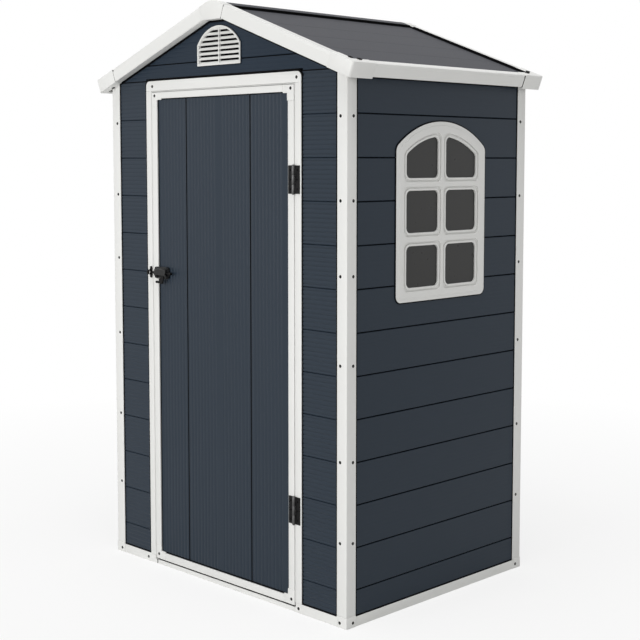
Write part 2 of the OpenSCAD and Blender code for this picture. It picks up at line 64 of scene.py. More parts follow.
def add_node(tree, kind, inputs={}, **settings):
    """Adds a node with its settings. An input takes a value, or a socket or node to link from."""
    made = tree.nodes.new(kind)
    for name, value in settings.items():
        setattr(made, name, value)
    for name, value in inputs.items():
        if isinstance(value, bpy.types.Node):
            value = value.outputs[0]
        if isinstance(value, bpy.types.NodeSocket):
            tree.links.new(value, made.inputs[name])
        else:
            made.inputs[name].default_value = value
    return made


def new_material(name):
    """An empty material and its node tree."""
    material = bpy.data.materials.new(name)
    material.use_nodes = True
    material.node_tree.nodes.clear()
    return material, material.node_tree


def new_piece(name, data):
    """An object in the scene, from its mesh, camera or lamp."""
    piece = bpy.data.objects.new(name, data)
    scene.collection.objects.link(piece)
    return piece


camera = new_piece("camera", bpy.data.cameras.new("camera"))
camera.location = (3.277, -3.256, 1.4425)
camera.rotation_euler = (radians(90 - 4.745), 0, radians(44.945))
camera.data.lens = 72.74
camera.data.shift_y = -0.08
scene.camera = camera

FLOOR_RADIUS = 9
FLOOR_PLAIN = 1.2
FLOOR_FADED = 3.5
SHADOW_LIFT = 0.78
paper, tree = new_material("studio_paper")
place = add_node(tree, "ShaderNodeTexCoord").outputs["Object"]
away = add_node(tree, "ShaderNodeVectorMath", {0: place}, operation="LENGTH").outputs["Value"]
fade = add_node(tree, "ShaderNodeMapRange",
                {"Value": away, "From Min": FLOOR_PLAIN, "From Max": FLOOR_FADED})
seen = add_node(tree, "ShaderNodeLightPath").outputs["Is Camera Ray"]
lifted = add_node(tree, "ShaderNodeMapRange", {"Value": fade, "To Min": SHADOW_LIFT, "To Max": 1.0})
blank = add_node(tree, "ShaderNodeMath", {0: lifted, 1: seen}, operation="MULTIPLY")
matt = add_node(tree, "ShaderNodeBsdfDiffuse", {"Color": linear("#F4F4F3")})
bright = add_node(tree, "ShaderNodeEmission", {"Color": linear("#FFFFFF"), "Strength": 1.0})
mixed = add_node(tree, "ShaderNodeMixShader", {0: blank, 1: matt, 2: bright})
add_node(tree, "ShaderNodeOutputMaterial", {"Surface": mixed})


def finished_mesh(shape, name):
    """The mesh of a bmesh, which is freed."""
    mesh = bpy.data.meshes.new(name)
    shape.to_mesh(mesh)
    shape.free()
    return mesh


sheet = bmesh.new()
bmesh.ops.create_circle(sheet, cap_ends=True, segments=96, radius=FLOOR_RADIUS)
floor_paper = new_piece("floor_paper", finished_mesh(sheet, "floor_paper"))
floor_paper.data.materials.append(paper)

FILL_LIGHT = 0.36
world = bpy.data.worlds.new("studio")
world.use_nodes = True
world.node_tree.nodes.clear()
tree = world.node_tree
path = add_node(tree, "ShaderNodeLightPath").outputs
direct = path["Is Camera Ray"]
for ray in ("Is Glossy Ray", "Is Transmission Ray"):
    direct = add_node(tree, "ShaderNodeMath", {0: direct, 1: path[ray]}, operation="MAXIMUM")
fill = add_node(tree, "ShaderNodeBackground", {"Color": linear("#FFFFFF"), "Strength": FILL_LIGHT})
surround = add_node(tree, "ShaderNodeBackground", {"Color": linear("#FFFFFF"), "Strength": 1.0})
shown = add_node(tree, "ShaderNodeMixShader", {0: direct, 1: fill, 2: surround})
add_node(tree, "ShaderNodeOutputWorld", {"Surface": shown})
scene.world = world

LAMP_AIM = Vector((0, 0, 1))
LAMP_REACH = 16
for name, azimuth, elevation, size, power in (
        ("key_lamp", -2, 8, 8.0, 1010),
        ("side_lamp", 75, 10, 8.0, 198),
        ("top_lamp", 20, 80, 9.6, 1300)):
    lamp = new_piece(name, bpy.data.lights.new(name, "AREA"))
    turn, lift = radians(azimuth), radians(elevation)
    back = Vector((sin(turn) * cos(lift), -cos(turn) * cos(lift), sin(lift)))
    lamp.location = LAMP_AIM + LAMP_REACH * back
    lamp.rotation_euler = back.to_track_quat("Z", "Y").to_euler()
    lamp.data.size = size
    lamp.data.energy = power


# ---------------------------------------------------------------------------
# Base: white PVC channels sawn to length and butted between four moulded corner
# feet, with a low sill under the door. The die and the mould leave soft arrises.

MM = 0.001
TRIM_ARRIS = 1.5 * MM
TONE_DRIFT = 250 * MM
GLOSS_SPREAD = 0.06
WELD = 0.005 * MM
FLAT = radians(1)
record = frame["record"]
body_of = {node: body for body, nodes in record["behaviour"]["bodies"].items() for node in nodes}


def moulded_plastic(name, colour, tint, ior, roughness, specular, grain, relief):
    """A plastic coloured right through: its tone drifts from colour to tint over a hand's
    width, and a fine grain of the given width and relief breaks up its gloss."""
    material, tree = new_material(name)
    place = add_node(tree, "ShaderNodeTexCoord").outputs["Object"]
    drift = add_node(tree, "ShaderNodeTexNoise",
                     {"Vector": place, "Scale": 1 / TONE_DRIFT, "Detail": 3.0})
    tone = add_node(tree, "ShaderNodeMix", {0: drift, 6: linear(colour), 7: linear(tint)},
                    data_type="RGBA")
    fine = add_node(tree, "ShaderNodeTexNoise",
                    {"Vector": place, "Scale": 1 / grain, "Detail": 2.0})
    gloss = add_node(tree, "ShaderNodeMapRange",
                     {"Value": fine, "To Min": roughness - GLOSS_SPREAD,
                      "To Max": roughness + GLOSS_SPREAD})
    bump = add_node(tree, "ShaderNodeBump", {"Height": fine, "Strength": 1.0, "Distance": relief})
    shader = add_node(tree, "ShaderNodeBsdfPrincipled",
                      {"Base Color": tone.outputs[2], "Roughness": gloss, "Normal": bump,
                       "IOR": ior, "Specular IOR Level": specular})
    add_node(tree, "ShaderNodeOutputMaterial", {"Surface": shader})
    return material


# Extruded PVC: a clean satin white with a hint of warmth, and a skin as fine as eggshell
white_pvc = moulded_plastic("white_pvc_extrusion", "#E9E9E7", "#E4E4E1", ior=1.54, roughness=0.38,
                            specular=0.4, grain=6 * MM, relief=0.02 * MM)


def baked(maker):
    """The plain mesh of an object with its modifiers applied. The object goes."""
    finished = maker.evaluated_get(bpy.context.evaluated_depsgraph_get())
    mesh = bpy.data.meshes.new_from_object(finished)
    bpy.data.objects.remove(maker)
    return mesh


def merged_copy(node):
    """A copy of a CAD node's mesh with its loose triangles joined into whole faces."""
    copy = bmesh.new()
    copy.from_mesh(frame["nodes"][node].data)
    bmesh.ops.remove_doubles(copy, verts=copy.verts, dist=WELD)
    bmesh.ops.dissolve_limit(copy, angle_limit=FLAT, verts=copy.verts, edges=copy.edges)
    return finished_mesh(copy, node)


def soften(mesh, radius):
    """The mesh with its arrises rounded."""
    mesh.shade_smooth()
    maker = new_piece("softened", mesh)
    bevel = maker.modifiers.new("arris", "BEVEL")
    bevel.width = radius
    bevel.segments = 2
    bevel.limit_method = "ANGLE"
    bevel.angle_limit = radians(30)
    bevel.use_clamp_overlap = False
    bevel.harden_normals = True
    return baked(maker)


def finish_piece(name, mesh, node, material=None, replaced=True):
    """Puts a finished mesh on the body of a CAD node, as a rule in its place. Without a
    material it keeps those that it has."""
    if material:
        mesh.materials.clear()
        mesh.materials.append(material)
        mesh.polygons.foreach_set("material_index", [0] * len(mesh.polygons))
    piece = new_piece(name, mesh)
    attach(piece, body_of[node])
    if replaced:
        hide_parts(node)
    return piece


def finish_mouldings(nodes, material, arris):
    """Puts a copy with rounded arrises in the place of each of these CAD nodes."""
    for node in nodes:
        finish_piece(node + "_moulding", soften(merged_copy(node), arris), node, material)


finish_mouldings(("base_rail_left", "base_rail_right", "base_rail_rear", "base_rails_front",
                  "door_sill", "corner_feet"), white_pvc, TRIM_ARRIS)


# ---------------------------------------------------------------------------
# Corner posts and door frame: white PVC extrusions with slots for the panels. The
# head over the door is moulded with round top corners and laps the jambs.

finish_mouldings(("post_front_left", "post_front_right", "post_rear_left", "post_rear_right",
                  "door_jamb_left", "door_jamb_right", "door_head"), white_pvc, TRIM_ARRIS)


# ---------------------------------------------------------------------------
# Walls and gables: twin-wall boards of dark polypropylene, each with nine shallow
# reeds, clipped edge to edge; the floor of the joint between every two boards is painted black as
# its shade.

WALL_THICKNESS = 18 * MM
PANEL_SKIN = 0.2 * MM
BOARD_RUN = 1.4
BOARD_PITCH = 134 * MM
BOARD_ROWS = 94
WALL_JOINT = 918.2 * MM
GABLE_JOINT = 1776 * MM


def new_tree(name, **inputs):
    """A Geometry Nodes tree with these input names for each kind, and the sockets they give."""
    tree = bpy.data.node_groups.new(name, "GeometryNodeTree")
    for kind, labels in inputs.items():
        for label in labels:
            tree.interface.new_socket(label, in_out="INPUT", socket_type="NodeSocket" + kind)
    tree.interface.new_socket("Geometry", in_out="OUTPUT", socket_type="NodeSocketGeometry")
    return tree, add_node(tree, "NodeGroupInput").outputs


def end_tree(tree, geometry, material, part=None, part_material=None):
    """Ends a tree in real faces of one material, with another on a selected part."""
    made = add_node(tree, "GeometryNodeRealizeInstances", {"Geometry": geometry})
    made = add_node(tree, "GeometryNodeSetMaterial", {"Geometry": made, "Material": material})
    if part:
        made = add_node(tree, "GeometryNodeSetMaterial",
                        {"Geometry": made, "Selection": part, "Material": part_material})
    add_node(tree, "NodeGroupOutput", {"Geometry": made})


board_tree, given = new_tree(
    "reeded_board", Float=(
        "Run", "Thickness", "Row Height", "Board Rows", "Boards Per Joint", "Joint Half Rows",
        "Joint Depth", "First Reed", "Reed Rows", "Reed Count", "Reed Half Rows", "Reed Depth"),
    Int=("Row Lines",), Material=("Material", "Joint Material"))
spot = add_node(board_tree, "GeometryNodeInputPosition")
spot = add_node(board_tree, "ShaderNodeSeparateXYZ", {0: spot}).outputs
known = {**dict(given.items()), "across": spot["Y"], "up": spot["Z"]}
for name, operation, *values in (
        ("spaces", "SUBTRACT", "Row Lines", 1.0),
        ("height", "MULTIPLY", "spaces", "Row Height"),
        # Joints: how many rows a point is from a board's edge, where that edge has a joint
        ("row", "DIVIDE", "up", "Row Height"),
        ("board", "DIVIDE", "row", "Board Rows"),
        ("edge", "ROUND", "board"),
        ("edge row", "MULTIPLY", "edge", "Board Rows"),
        ("off edge", "SUBTRACT", "row", "edge row"),
        ("off edge", "ABSOLUTE", "off edge"),
        ("near edge", "SUBTRACT", "Joint Half Rows", "off edge"),
        ("near edge", "MAXIMUM", "near edge", 0.0),
        ("near edge", "MINIMUM", "near edge", 1.0),
        ("turn", "FLOORED_MODULO", "edge", "Boards Per Joint"),
        ("jointed", "LESS_THAN", "turn", 0.5),
        ("in joint", "MULTIPLY", "near edge", "jointed"),
        ("joint", "MULTIPLY", "in joint", "Joint Depth"),
        # The joint floor takes the Joint Material: black in the walls and the leaf, as painted
        # shade in the gap
        ("joint floor", "GREATER_THAN", "in joint", 0.9),
        # Reeds: how many rows a point is from a reed. A board without a joint lacks its first
        ("whole", "FLOOR", "board"),
        ("start", "MULTIPLY", "whole", "Board Rows"),
        ("start", "ADD", "start", "First Reed"),
        ("along", "SUBTRACT", "row", "start"),
        ("lacking", "FLOORED_MODULO", "whole", "Boards Per Joint"),
        ("last", "SUBTRACT", "Reed Count", 1.0),
        ("number", "DIVIDE", "along", "Reed Rows"),
        ("number", "ROUND", "number"),
        ("number", "MAXIMUM", "number", "lacking"),
        ("number", "MINIMUM", "number", "last"),
        ("reed row", "MULTIPLY", "number", "Reed Rows"),
        ("off reed", "SUBTRACT", "along", "reed row"),
        ("off reed", "ABSOLUTE", "off reed"),
        ("near reed", "SUBTRACT", "Reed Half Rows", "off reed"),
        ("near reed", "DIVIDE", "near reed", "Reed Half Rows"),
        ("reed", "MULTIPLY", "near reed", "Reed Depth"),
        # The deeper of the two goes in from both faces
        ("cut", "MAXIMUM", "joint", "reed"),
        ("face", "SIGN", "across"),
        ("inward", "MULTIPLY", "cut", "face"),
        ("inward", "MULTIPLY", "inward", -1.0)):
    known[name] = add_node(board_tree, "ShaderNodeMath",
                           {i: known.get(value, value) for i, value in enumerate(values)},
                           operation=operation)
size = add_node(board_tree, "ShaderNodeCombineXYZ",
                {"X": given["Run"], "Y": given["Thickness"], "Z": known["height"]})
slab = add_node(board_tree, "GeometryNodeMeshCube",
                {"Size": size, "Vertices Z": given["Row Lines"]})
shift = add_node(board_tree, "ShaderNodeCombineXYZ", {"Y": known["inward"]})
cut_slab = add_node(board_tree, "GeometryNodeSetPosition", {"Geometry": slab, "Offset": shift})
end_tree(board_tree, cut_slab, given["Material"], known["joint floor"], given["Joint Material"])


def grown(tree, settings, path=None):
    """The plain mesh that a tree makes from its named inputs, and from a path if given."""
    maker = new_piece("grown", path or bpy.data.meshes.new("grown"))
    modifier = maker.modifiers.new("grown", "NODES")
    modifier.node_group = tree
    for item in tree.interface.items_tree:
        if item.name in settings:
            modifier[item.identifier] = settings[item.name]
    mesh = baked(maker)
    if mesh.materials[0] is None:
        mesh.materials.pop(index=0)
    return mesh


def board_slab(thickness, pitch, rows, boards, settings):
    """A slab of boards edge to edge, from their thickness, pitch, mesh rows and number, and the
    tree's other settings."""
    return grown(board_tree, {
        "Run": BOARD_RUN, "Thickness": thickness - 2 * PANEL_SKIN, "Row Height": pitch / rows,
        "Row Lines": boards * rows + 1, "Board Rows": float(rows), "Boards Per Joint": 1.0,
        "Reed Count": 9.0, "Reed Half Rows": 2.5, **settings})


def cut_from(mesh, outline):
    """What is left of a mesh inside the outline mesh."""
    blank = new_piece("blank", mesh)
    cutter = new_piece("outline", outline)
    boolean = blank.modifiers.new("outline", "BOOLEAN")
    boolean.operation = "INTERSECT"
    boolean.solver = "EXACT"
    boolean.object = cutter
    left = baked(blank)
    bpy.data.objects.remove(cutter)
    left.shade_smooth()
    left.set_sharp_from_angle(angle=radians(25))
    return left


def middle(node):
    """The middle of a CAD node's box."""
    low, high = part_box(node)
    return (Vector(low) + Vector(high)) / 2


def set_at(point, degrees, axis):
    """The turn about an axis, and then the move to a point, that put a shape in its place."""
    return Matrix.Translation(point) @ Matrix.Rotation(radians(degrees), 4, axis)


def lay_boards(name, slab, place, node):
    """Lays a slab of boards in its place, sawn to the shape of a CAD node."""
    slab.transform(place)
    finish_piece(name, cut_from(slab, merged_copy(node)), node)


# Black rubber, and the same black painted as shade and shadow lines in gaps, joints and hollows: no
# gloss to speak of
rubber_and_painted_shade = moulded_plastic("rubber_and_painted_shade", "#060607", "#08080A", ior=1.52, roughness=0.85,
                               specular=0.08, grain=2 * MM, relief=0.02 * MM)
# Moulded polypropylene, slate blue: a dull gloss over a fine pebble grain
slate_boards = moulded_plastic("slate_polypropylene", "#28323D", "#2A343F", ior=1.49,
                               roughness=0.36, specular=0.19, grain=4 * MM, relief=0.03 * MM)
# The gables' boards: the same slate, painted darker as the shade under the roof's edge
gable_painted_shade_slate = moulded_plastic("slate_polypropylene_painted_shade", "#202C39", "#222E3B", ior=1.49,
                              roughness=0.36, specular=0.15, grain=4 * MM, relief=0.03 * MM)
for node, facing, level, joint_rows, reed_depth, plastic in (
        ("wall_front_left", 0, WALL_JOINT, 1.2, 1.2 * MM, slate_boards),
        ("wall_front_right", 0, WALL_JOINT, 1.2, 1.8 * MM, slate_boards),
        ("wall_right", 90, WALL_JOINT, 1.45, 0.12 * MM, slate_boards),
        ("wall_rear", 180, WALL_JOINT, 1.2, 0.12 * MM, slate_boards),
        ("wall_left", -90, WALL_JOINT, 1.45, 0.12 * MM, slate_boards),
        ("gable_front", 0, GABLE_JOINT, 2.0, 0.8 * MM, gable_painted_shade_slate),
        ("gable_rear", 180, GABLE_JOINT, 2.0, 0.12 * MM, gable_painted_shade_slate)):
    centre = middle(node)
    slab = board_slab(WALL_THICKNESS, BOARD_PITCH, BOARD_ROWS, 14, {
        "Joint Half Rows": joint_rows, "Joint Depth": 5 * MM, "First Reed": 7.0,
        "Reed Rows": 10.0, "Reed Depth": reed_depth, "Material": plastic,
        "Joint Material": rubber_and_painted_shade})
    lay_boards(node + "_boards", slab, set_at((centre.x, centre.y, level), facing, "Z"), node)


# ---------------------------------------------------------------------------
# Floor: moulded polypropylene planks laid across the base, grooved for grip, seen
# through the open door. It drops in between the rails.

FLOOR_THICKNESS = 16 * MM
FLOOR_PLANK = 120 * MM
floor_plastic = moulded_plastic("charcoal_polypropylene", "#3C3D40", "#414246", ior=1.49,
                                roughness=0.55, specular=0.3, grain=5 * MM, relief=0.05 * MM)
slab = board_slab(FLOOR_THICKNESS, FLOOR_PLANK, 60, 8, {
    "Joint Half Rows": 2.0, "Joint Depth": 3 * MM, "First Reed": 6.0, "Reed Rows": 6.0,
    "Reed Depth": 1.2 * MM, "Material": floor_plastic, "Joint Material": floor_plastic})
lay_boards("floor_planks", slab, set_at(middle("floor_panel"), -90, "X"), "floor_panel")


# ---------------------------------------------------------------------------
# Door leaf: two wide reeded boards upright in a white PVC frame, whose stiles and
# rails are sawn square and held by moulded corner pieces a little wider than they are.

LEAF_THICKNESS = 14 * MM
LEAF_JOINT_X = -178.5 * MM
HALF_BOARD = 162.5 * MM
centre = middle("door_panel")
slab = board_slab(LEAF_THICKNESS, HALF_BOARD, 114, 8, {
    "Run": 1.8, "Boards Per Joint": 2.0, "Joint Half Rows": 2.5, "Joint Depth": 2.5 * MM,
    "First Reed": 7.0, "Reed Rows": 12.0, "Reed Depth": 1.25 * MM, "Material": slate_boards,
    "Joint Material": rubber_and_painted_shade})
lay_boards("door_boards", slab, set_at((LEAF_JOINT_X, centre.y, centre.z), 90, "Y"), "door_panel")
finish_mouldings(("door_stile_left", "door_stile_right", "door_rail_top", "door_rail_bottom",
                  "door_corners"), white_pvc, TRIM_ARRIS)


# ---------------------------------------------------------------------------
# Edge lips: black lips along every edge of the panels, pressed into the trims' slots,
# and one over the door head, as painted shadow lines in those joints; and a soft white seal round
# the doorway.

LIP_RADIUS = 4.5 * MM
LIP_SUNK = 3 * MM
LIP_SIDE = 1 * MM
LIP_WIDE_SIDE = 5 * MM
LIP_FOOT = 2.5 * MM
EAVES_LIP = 23.5 * MM
BARGE_LIP = 2 * MM
SECOND_LIP = 9 * MM
SEAM_SUNK = 1.6 * MM
HEAD_SHADE_RADIUS = 4.2 * MM
HEAD_RADIUS = 18 * MM
STRIP_RADIUS = 2 * MM
STRIP_INSET = 27.5 * MM
ROOF_ANGLE = radians(20.4)
EAVES_GAP = 7 * MM
ROOF_DEPTH = 24 * MM
BARGE_HEIGHT = 46 * MM
APEX_FOOT = 46 * MM

lip_tree, given = new_tree("rubber_lip", Geometry=("Path",), Float=("Radius",),
                           Material=("Material",))
line = add_node(lip_tree, "GeometryNodeMeshToCurve", {"Mesh": given["Path"]})
section = add_node(lip_tree, "GeometryNodeCurvePrimitiveCircle",
                   {"Resolution": 10, "Radius": given["Radius"]})
lip = add_node(lip_tree, "GeometryNodeCurveToMesh",
               {"Curve": line, "Profile Curve": section, "Fill Caps": True})
end_tree(lip_tree, lip, given["Material"])


def line_mesh(lines):
    """A mesh of edges only, from lists of points. A line that ends where it starts is closed."""
    wire = bmesh.new()
    for points in lines:
        closed = Vector(points[0]) == Vector(points[-1])
        verts = [wire.verts.new(p) for p in (points[:-1] if closed else points)]
        for a, b in zip(verts, verts[1:] + verts[:1] if closed else verts[1:]):
            wire.edges.new((a, b))
    return finished_mesh(wire, "lines")


def seal(name, lines, radius, node="roof_seals", rubber=rubber_and_painted_shade):
    """A round lip along each line, on the body of a CAD node; by default black, as a painted shadow
    line.
    """
    lips = grown(lip_tree, {"Radius": radius, "Material": rubber}, line_mesh(lines))
    finish_piece(name, lips, node, replaced=False)


def blocks(places):
    """Blocks in one mesh, from their middles and sizes."""
    whole = bmesh.new()
    for centre, size in places:
        bmesh.ops.create_cube(whole, size=1,
                              matrix=Matrix.Translation(centre) @ Matrix.Diagonal((*size, 1)))
    return finished_mesh(whole, "blocks")


base_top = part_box("base_rail_right")[1][2]
wall_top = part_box("wall_right")[1][2]
post_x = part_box("post_front_right")[0][0]
post_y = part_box("post_rear_right")[0][1]
frame_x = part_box("door_jamb_right")[1][0]
face_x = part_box("wall_right")[1][0]
face_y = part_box("wall_rear")[1][1]
fall = tan(ROOF_ANGLE)
ridge_z = wall_top + EAVES_GAP + face_x * fall + ROOF_DEPTH / cos(ROOF_ANGLE)
barge_foot = ridge_z - BARGE_HEIGHT / cos(ROOF_ANGLE)

# Painted shadow lines round each wall's panels, down from the wall's top and along the foot. Beside
# a trim whose edge stands in front of the joint, the lip sits further from it so that its painted
# line still shows
rail_foot = base_top + LIP_FOOT
lip_x, lip_y = face_x - LIP_SUNK, face_y - LIP_SUNK
wall_lines = []
for side in (-1, 1):
    at_post, at_jamb = (LIP_WIDE_SIDE, LIP_SIDE) if side > 0 else (LIP_SIDE, LIP_WIDE_SIDE)
    wall_lines.append([(side * x, -lip_y, z) for x, z in (
        (post_x - at_post, wall_top), (post_x - at_post, rail_foot),
        (frame_x + at_jamb, rail_foot), (frame_x + at_jamb, wall_top - HEAD_RADIUS))])
    wall_lines.append([(side * lip_x, side * y, z) for y, z in (
        (LIP_WIDE_SIDE - post_y, wall_top), (LIP_WIDE_SIDE - post_y, rail_foot),
        (post_y - LIP_SIDE, rail_foot), (post_y - LIP_SIDE, wall_top))])
    # A lip high on each side wall stands as painted shadow under the fascia
    wall_lines.append([(side * lip_x, y, wall_top - EAVES_LIP) for y in (-post_y, post_y)])
wall_lines.append([(x, lip_y, z) for x, z in (
    (LIP_SIDE - post_x, wall_top), (LIP_SIDE - post_x, rail_foot),
    (post_x - LIP_SIDE, rail_foot), (post_x - LIP_SIDE, wall_top))])
# Painted shadow lines under the bargeboards, with a second lip lower on one slope that widens the
# painted shadow there
for way in (-1, 1):
    wall_lines.append([(x, way * lip_y, barge_foot - abs(x) * fall - BARGE_LIP)
                       for x in (-post_x, -APEX_FOOT, APEX_FOOT, post_x)])
    wall_lines.append([(-way * x, way * lip_y, barge_foot - x * fall - SECOND_LIP)
                       for x in (APEX_FOOT, post_x)])
seal("wall_shadow_lips", wall_lines, LIP_RADIUS)

# A thinner black lip lies in the joint between each gable and its wall, as painted shade in the
# seam
seam_y = face_y - SEAM_SUNK
seams = [[(side * x, -seam_y, wall_top) for x in (frame_x, post_x)] for side in (-1, 1)]
seams.append([(x, seam_y, wall_top) for x in (-post_x, post_x)])
seal("gable_seam_shade_lips", seams, STRIP_RADIUS)

# Over the head, round its two corners: a black lip fills the recess there as its painted shade
head_shade_out = HEAD_RADIUS + HEAD_SHADE_RADIUS - 0.5 * MM
arc = [(frame_x - HEAD_RADIUS + head_shade_out * cos(a), wall_top - HEAD_RADIUS + head_shade_out * sin(a))
       for a in (radians(7.5 * i) for i in range(13))]
over_head = arc + [(-x, z) for x, z in reversed(arc)]
seal("head_shade_lip", [[(x, 1 * MM - face_y, z) for x, z in over_head]], HEAD_SHADE_RADIUS)

# Black pads close the head's round corners from behind, and black strips lie on the sill under the
# leaf
# and in its joint: painted shade in these hollows and under the leaf
sill_low, sill_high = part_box("door_sill")
pads = [((side * (frame_x - 9 * MM), 8 * MM - face_y, wall_top - 3 * MM),
         (24 * MM, 6 * MM, 36 * MM)) for side in (-1, 1)]
pads.append(((0, sill_low[1] + 11 * MM, sill_high[2] + 0.2 * MM),
             (2 * sill_high[0] - 4 * MM, 20 * MM, 1.2 * MM)))
pads.append(((sill_low[0] - 1 * MM, sill_low[1] + 5 * MM, sill_high[2] / 2),
             (3 * MM, 11 * MM, 15 * MM)))
finish_piece("sill_shade_strips", soften(blocks(pads), 0.3 * MM), "roof_seals", rubber_and_painted_shade,
             replaced=False)

# Painted shadow lines round the leaf's boards, inside its frame
leaf_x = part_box("door_stile_right")[0][0] - LIP_SIDE
leaf_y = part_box("door_panel")[0][1] + LIP_SUNK
leaf_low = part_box("door_rail_bottom")[1][2] + LIP_FOOT
leaf_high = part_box("door_rail_top")[0][2] - LIP_SIDE
seal("door_shadow_lip", [[(side * leaf_x, leaf_y, z) for side, z in (
    (-1, leaf_low), (1, leaf_low), (1, leaf_high), (-1, leaf_high), (-1, leaf_low))]],
     LIP_RADIUS, "door_panel")

# Soft white PVC: the extrusion's white, with less gloss
soft_pvc = moulded_plastic("soft_white_pvc", "#E4E4E2", "#DFDFDC", ior=1.52, roughness=0.6,
                           specular=0.3, grain=4 * MM, relief=0.02 * MM)
jamb_low, jamb_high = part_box("door_jamb_right")
strip_x = frame_x - STRIP_INSET - STRIP_RADIUS
strip_y = jamb_low[1] + STRIP_RADIUS + 1.4 * MM
strip_z = jamb_high[2] - STRIP_RADIUS
seal("door_strip", [[(x, strip_y, z) for x, z in (
    (-strip_x, jamb_low[2]), (-strip_x, strip_z), (strip_x, strip_z), (strip_x, jamb_low[2]))]],
     STRIP_RADIUS, "door_head", soft_pvc)


# ---------------------------------------------------------------------------
# Hinges: two steel butts, powder coated black, their knuckles a lighter grey round the
# pins as a painted highlight, screwed on the face of the jamb and of the leaf.

PIN_X = 360 * MM
PIN_Y = -452 * MM
KNUCKLE_REACH = 5.4 * MM

# Black powder coat: a dark, slightly pebbled satin film
black_steel = moulded_plastic("black_powder_coat", "#080809", "#0B0B0C", ior=1.5, roughness=0.5,
                              specular=0.14, grain=1.5 * MM, relief=0.02 * MM)
# Knuckle steel: a lighter grey with more gloss than the coat, the grey a painted highlight along
# the knuckles
knuckle_highlight_steel = moulded_plastic("knuckle_highlight_steel", "#161617", "#1C1C1C", ior=2.0, roughness=0.4,
                               specular=0.4, grain=1 * MM, relief=0.01 * MM)
for node in ("hinge_jamb_leaves", "hinge_door_leaves"):
    hinge = finish_piece(node + "_steel", soften(merged_copy(node), 0.4 * MM), node, black_steel)
    hinge.data.materials.append(knuckle_highlight_steel)
    for face in hinge.data.polygons:
        if (face.center.xy - Vector((PIN_X, PIN_Y))).length < KNUCKLE_REACH:
            face.material_index = 1


# ---------------------------------------------------------------------------
# Latch: a barrel bolt of black-coated steel with a hanging tab, under a ribbed hood on a
# plate screwed to the leaf, and its keeper on the jamb.

BOLT_OUT = 9 * MM
BOLT_RADIUS = 5 * MM
BOLT_PLAY = 0.6 * MM
PLATE_CORNER = 10 * MM
PLATE_END = -272 * MM
SPACER_START = -330 * MM
HOOD_START = -337 * MM
HOOD_HALF = 18 * MM
HOOD_FOOT = 2 * MM
HOOD_SPRING = 3 * MM
HOOD_OUT = 17.2 * MM
HOOD_RIBS = 7
RIB_SHARE = 0.1
STRAP_WIDTH = 8 * MM
TAB_START = 44 * MM
TAB_BACK = 9 * MM
TAB_FRONT = 14 * MM
LOOP_RADIUS = 9 * MM


def arc_points(x, y, radius, angles):
    """The points at these angles on an arc about (x, y)."""
    return [(x + radius * cos(a), y + radius * sin(a)) for a in angles]


def rounded_opening(x0, x1, z0, z1, foot_r, top_r, arch_r=None, grow=0):
    """Outline of an opening with rounded corners, under a level head or under an arch whose
    crown is at x = 0 and z1, grown outwards all round."""
    x0, x1, z0, z1 = x0 - grow, x1 + grow, z0 - grow, z1 + grow
    foot_r, top_r = max(foot_r + grow, MM), max(top_r + grow, MM)
    corners = []
    for side, edge in ((1, x1), (-1, x0)):
        centre = Vector((edge - side * top_r, z1 - top_r))
        end = pi / 2
        if arch_r:
            big_r = arch_r + grow
            centre.y = z1 - big_r + sqrt((big_r - top_r) ** 2 - centre.x ** 2)
            end = atan2(centre.y - (z1 - big_r), centre.x)
        corners.append((centre, end))
    (right, a1), (left, b0) = corners
    steps = [i / 8 for i in range(9)]
    points = arc_points(*right, top_r, [a1 * t for t in steps])
    if arch_r:
        points += arc_points(0, z1 - big_r, big_r, [a1 + (b0 - a1) * i / 32 for i in range(1, 32)])
    points += arc_points(*left, top_r, [b0 + (pi - b0) * t for t in steps])
    for x, start in ((x0 + foot_r, pi), (x1 - foot_r, 1.5 * pi)):
        points += arc_points(x, z0 + foot_r, foot_r, [start + pi / 2 * t for t in steps])
    return points


def pressed(outlines, low, high, arris=0, place=None):
    """A flat plate from low to high, its edge the first outline and its holes the others, with
    rounded arrises and in its place if these are given."""
    plate = bmesh.new()
    for outline in outlines:
        verts = [plate.verts.new((x, y, low)) for x, y in outline]
        for a, b in zip(verts, verts[1:] + verts[:1]):
            plate.edges.new((a, b))
    bmesh.ops.triangle_fill(plate, use_beauty=True, edges=plate.edges, normal=(0, 0, 1))
    bmesh.ops.dissolve_limit(plate, angle_limit=FLAT, verts=plate.verts, edges=plate.edges)
    risen = bmesh.ops.extrude_face_region(plate, geom=plate.faces[:])
    top = [v for v in risen["geom"] if isinstance(v, bmesh.types.BMVert)]
    bmesh.ops.translate(plate, vec=(0, 0, high - low), verts=top)
    bmesh.ops.recalc_face_normals(plate, faces=plate.faces)
    mesh = finished_mesh(plate, "plate")
    if arris:
        mesh = soften(mesh, arris)
    if place:
        mesh.transform(place)
    return mesh


def joined(meshes):
    """One mesh of several."""
    whole = bmesh.new()
    for mesh in meshes:
        whole.from_mesh(mesh)
    return finished_mesh(whole, "joined")


def ring_of(radius, steps=24):
    """A circle round the bolt's middle line."""
    return arc_points(0, BOLT_OUT, radius, [2 * pi * i / steps for i in range(steps)])


def hood_arc(start, end, steps=56):
    """The ribbed outline of the hood over the bolt, between two angles from its foot."""
    arc = []
    for i in range(steps + 1):
        a = start + (end - start) * i / steps
        rib = 1 - RIB_SHARE * abs(sin(HOOD_RIBS * a / 2))
        rise = (HOOD_OUT - HOOD_SPRING) * sin(a) * rib
        arc.append((HOOD_HALF * cos(a) * rib, HOOD_SPRING + rise))
    return arc


